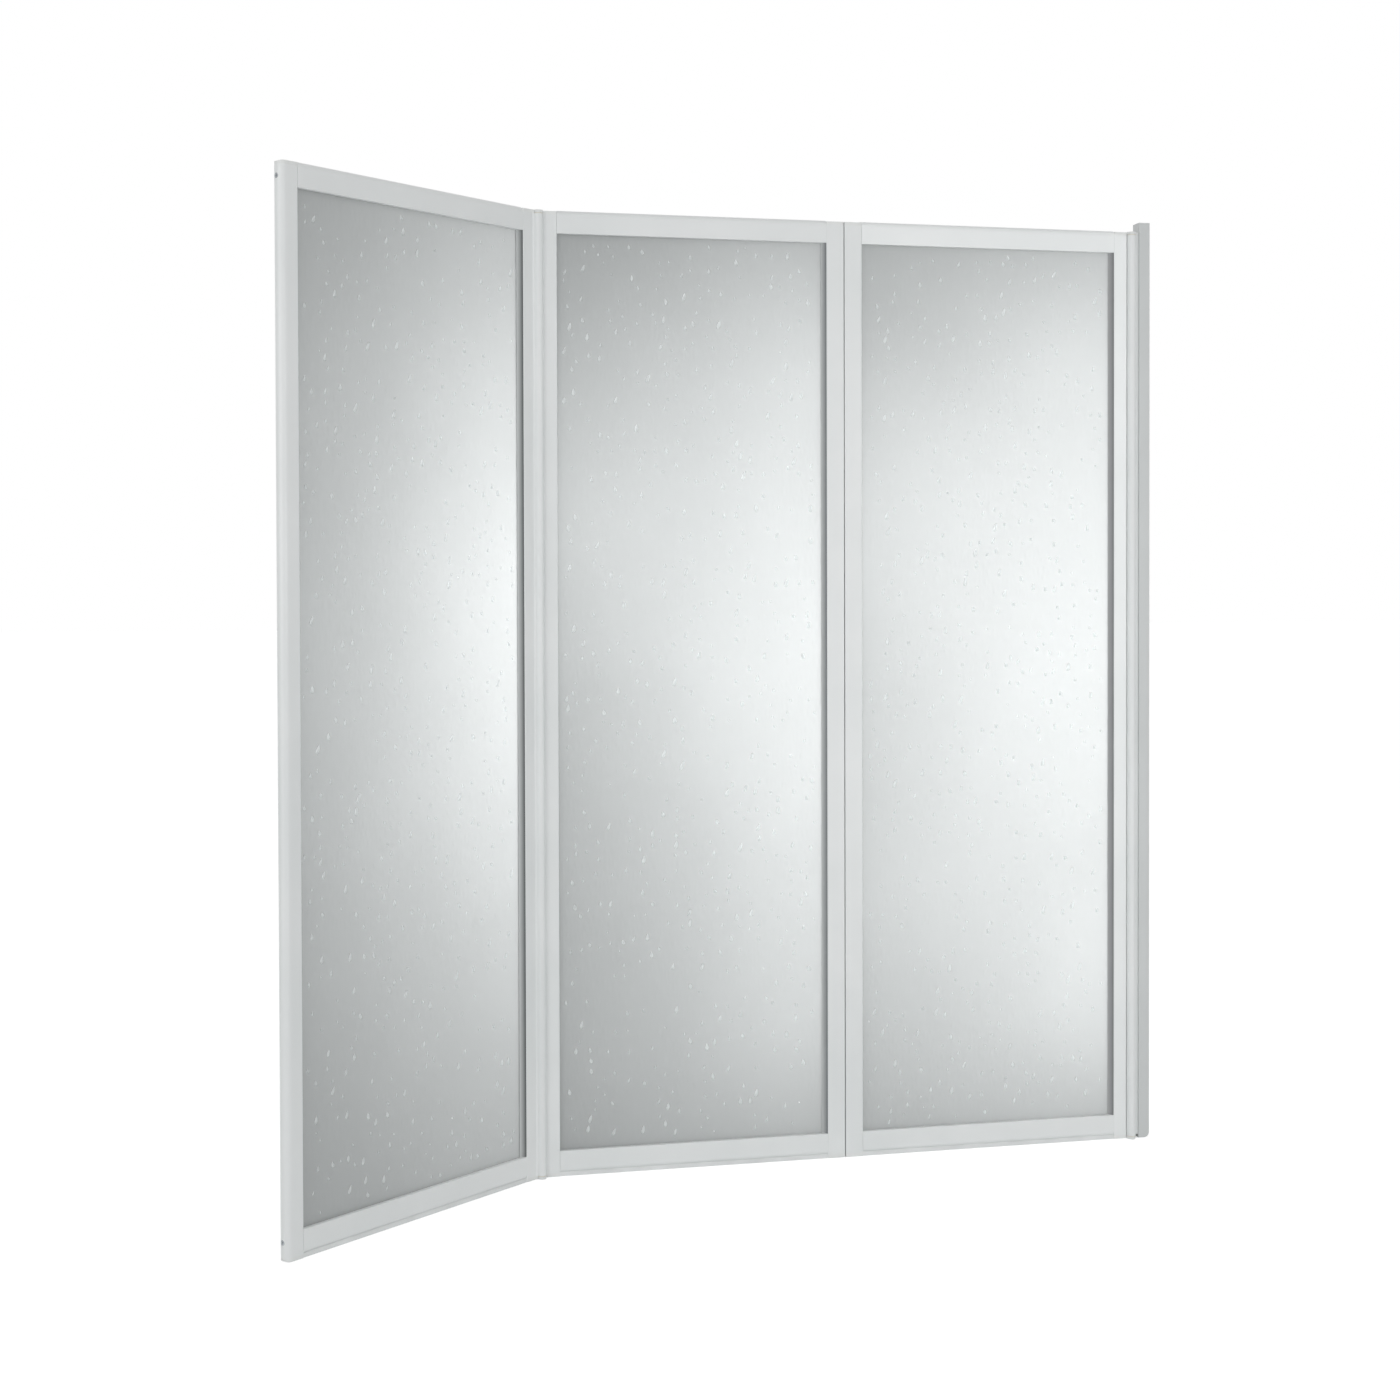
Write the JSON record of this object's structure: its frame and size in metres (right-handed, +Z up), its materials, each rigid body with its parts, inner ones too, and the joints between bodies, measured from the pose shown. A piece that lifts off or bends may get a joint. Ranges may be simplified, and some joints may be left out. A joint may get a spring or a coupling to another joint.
{
  "type": "folding bath screen",
  "caption": "Folding bath screen: white-framed translucent panels hinged in a zigzag from an adjustable wall profile, with seals along the bath rim.",
  "frame": {"origin": "where the wall plane meets the bath rim, at mid-depth of the wall profile", "axes": "+X into the wall, so the screen runs towards -X; -Y is the front that the picture shows; +Z up"},
  "size_m": [1.3051, 0.304, 1.4],
  "materials": {
    "white_lacquered_aluminium": "white powder coat, satin gloss",
    "white_moulding": "moulded, satin",
    "rain_pane": "clear plastic with a moulded raindrop pattern",
    "dark_gasket": "matt",
    "soft_seal": "matt, slightly translucent",
    "steel": "bright zinc plated",
    "nylon": "natural"
  },
  "bodies": {
    "wall": {"wall_profile": "white_lacquered_aluminium", "wall_profile_cap_top": "white_moulding", "wall_profile_cap_bottom": "white_moulding", "clamp_screws": "steel"},
    "adjuster": {"adjusting_profile": "white_lacquered_aluminium", "adjusting_profile_caps": "white_moulding", "wall_hinge_bushes": "nylon"},
    "inner_panel": {"wall_hinge_bracket_top": "white_moulding", "wall_hinge_bracket_bottom": "white_moulding", "wall_hinge_pins": "steel", "wall_hinge_seal": "soft_seal", "wall_hinge_screws": "steel", "inner_right_stile": "white_lacquered_aluminium", "inner_left_stile": "white_lacquered_aluminium", "inner_top_rail": "white_lacquered_aluminium", "inner_bottom_rail": "white_lacquered_aluminium", "inner_pane": "rain_pane", "inner_gasket": "dark_gasket", "inner_glazing_strips": "soft_seal", "inner_bottom_seal": "soft_seal", "inner_corner_screws": "steel", "inner_stile_caps": "white_moulding", "middle_hinge_bushes": "nylon"},
    "middle_panel": {"middle_hinge_bracket_top": "white_moulding", "middle_hinge_bracket_bottom": "white_moulding", "middle_hinge_pins": "steel", "middle_hinge_seal": "soft_seal", "middle_hinge_screws": "steel", "middle_right_stile": "white_lacquered_aluminium", "middle_left_stile": "white_lacquered_aluminium", "middle_top_rail": "white_lacquered_aluminium", "middle_bottom_rail": "white_lacquered_aluminium", "middle_pane": "rain_pane", "middle_gasket": "dark_gasket", "middle_glazing_strips": "soft_seal", "middle_bottom_seal": "soft_seal", "middle_corner_screws": "steel", "outer_hinge_bracket_top": "white_moulding", "outer_hinge_bracket_bottom": "white_moulding", "outer_hinge_pins": "steel", "outer_hinge_seal": "soft_seal", "outer_hinge_screws": "steel"},
    "outer_panel": {"outer_hinge_bushes": "nylon", "outer_right_stile": "white_lacquered_aluminium", "outer_left_stile": "white_lacquered_aluminium", "outer_top_rail": "white_lacquered_aluminium", "outer_bottom_rail": "white_lacquered_aluminium", "outer_pane": "rain_pane", "outer_gasket": "dark_gasket", "outer_glazing_strips": "soft_seal", "outer_bottom_seal": "soft_seal", "outer_corner_screws": "steel", "outer_stile_caps": "white_moulding", "outer_end_caps": "white_moulding"}
  },
  "joints": [
    {"name": "width_adjustment", "type": "slide", "parent": "wall", "child": "adjuster", "axis": [-1, 0, 0], "range_m": [-0.003, 0.005]},
    {"name": "wall_hinge", "type": "hinge", "parent": "adjuster", "child": "inner_panel", "pos_m": [-0.03, -0.012, 0.7], "axis": [0, 0, 1], "range_deg": [0, 90]},
    {"name": "middle_hinge", "type": "hinge", "parent": "inner_panel", "child": "middle_panel", "pos_m": [-0.484, 0.012, 0.7], "axis": [0, 0, -1], "range_deg": [0, 178]},
    {"name": "outer_hinge", "type": "hinge", "parent": "middle_panel", "child": "outer_panel", "pos_m": [-0.938, -0.012, 0.7], "axis": [0, 0, 1], "range_deg": [-38, 140]}
  ]
}
